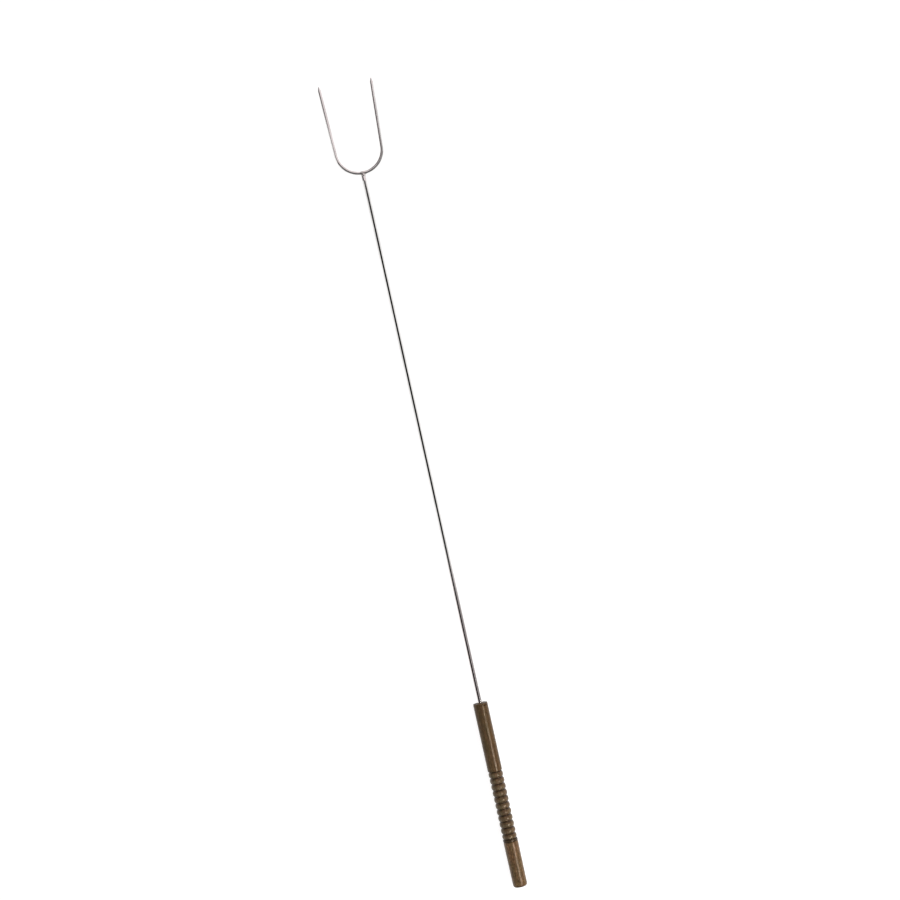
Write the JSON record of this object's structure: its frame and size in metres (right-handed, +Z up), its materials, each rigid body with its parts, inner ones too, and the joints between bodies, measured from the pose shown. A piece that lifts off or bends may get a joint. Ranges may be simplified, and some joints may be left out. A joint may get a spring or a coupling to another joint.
{
  "type": "marshmallow roasting fork",
  "caption": "Long campfire fork: turned dark-stained wood handle with rounded grip rings, straight plated steel rod and a U-bent head with ground points.",
  "frame": {"origin": "on the surface the fork lies on, under the rod's axis, half-way between the butt and the points", "axes": "+Y from the handle's butt towards the points, +X to the right with the points away from you, +Z up from the surface; the rod's axis slopes 0.50 degrees down towards the points, as the fork lies on the handle's front edge and its two tines"},
  "size_m": [0.0732, 1.0668, 0.0209],
  "materials": {
    "stained_wood": "satin",
    "clear_glue": null,
    "plated_rod": null,
    "plated_wire": null,
    "weld_metal": null
  },
  "bodies": {
    "root": {"handle": "stained_wood", "glue_sleeve": "clear_glue", "rod": "plated_rod", "weld_bead": "weld_metal", "prong_wire": "plated_wire"}
  },
  "joints": []
}
